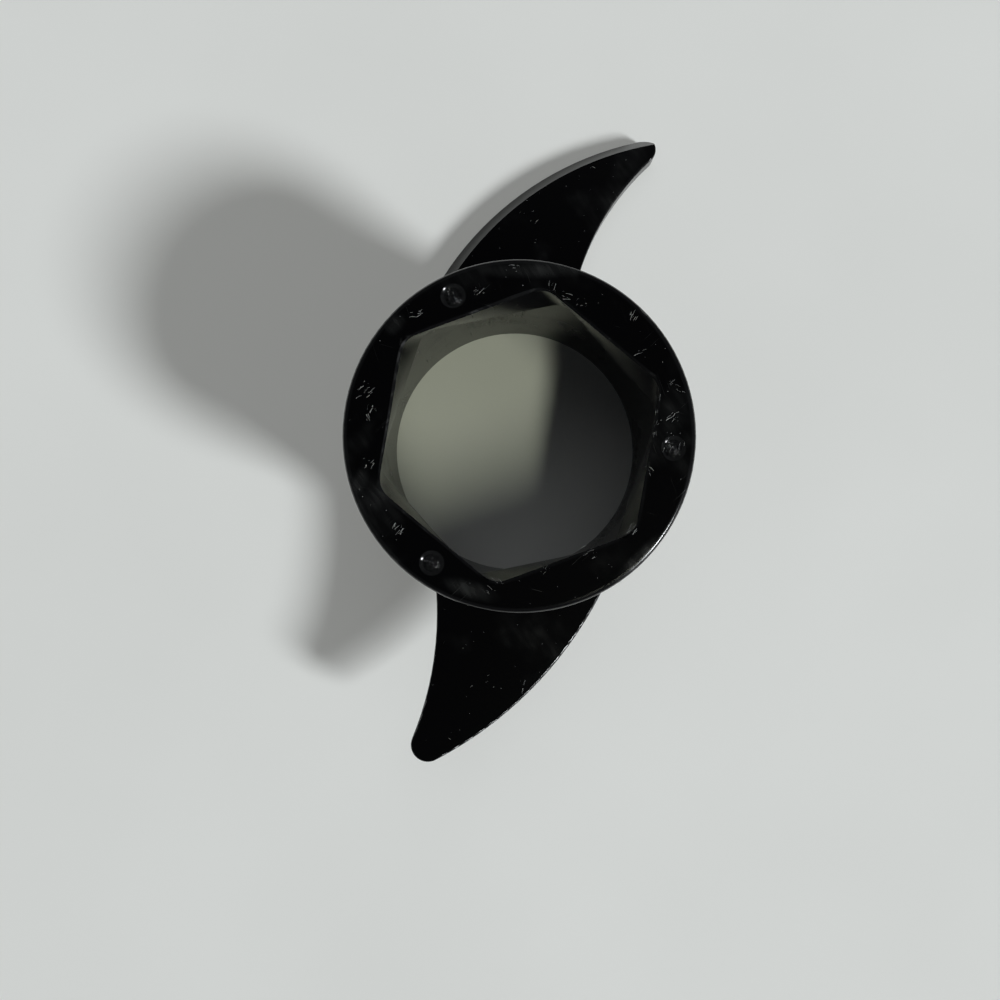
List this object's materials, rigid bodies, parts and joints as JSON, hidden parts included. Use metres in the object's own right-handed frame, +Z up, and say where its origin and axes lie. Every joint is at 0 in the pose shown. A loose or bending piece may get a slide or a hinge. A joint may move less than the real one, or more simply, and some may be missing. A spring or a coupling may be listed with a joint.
{
  "type": "dough blade",
  "caption": "Black moulded dough blade: a flanged round hub with a hexagonal drive opening, and two swept crescent arms at different heights.",
  "frame": {"origin": "on the hub's axis, in the plane of the rim that the hub stands on", "axes": "+Z up along the hub's axis, +Y towards the low arm's side"},
  "size_m": [0.0611, 0.1318, 0.041],
  "materials": {
    "black_plastic": "gloss black moulded plastic with fine scratches"
  },
  "bodies": {
    "root": {"dough_blade": "black_plastic"}
  },
  "joints": []
}
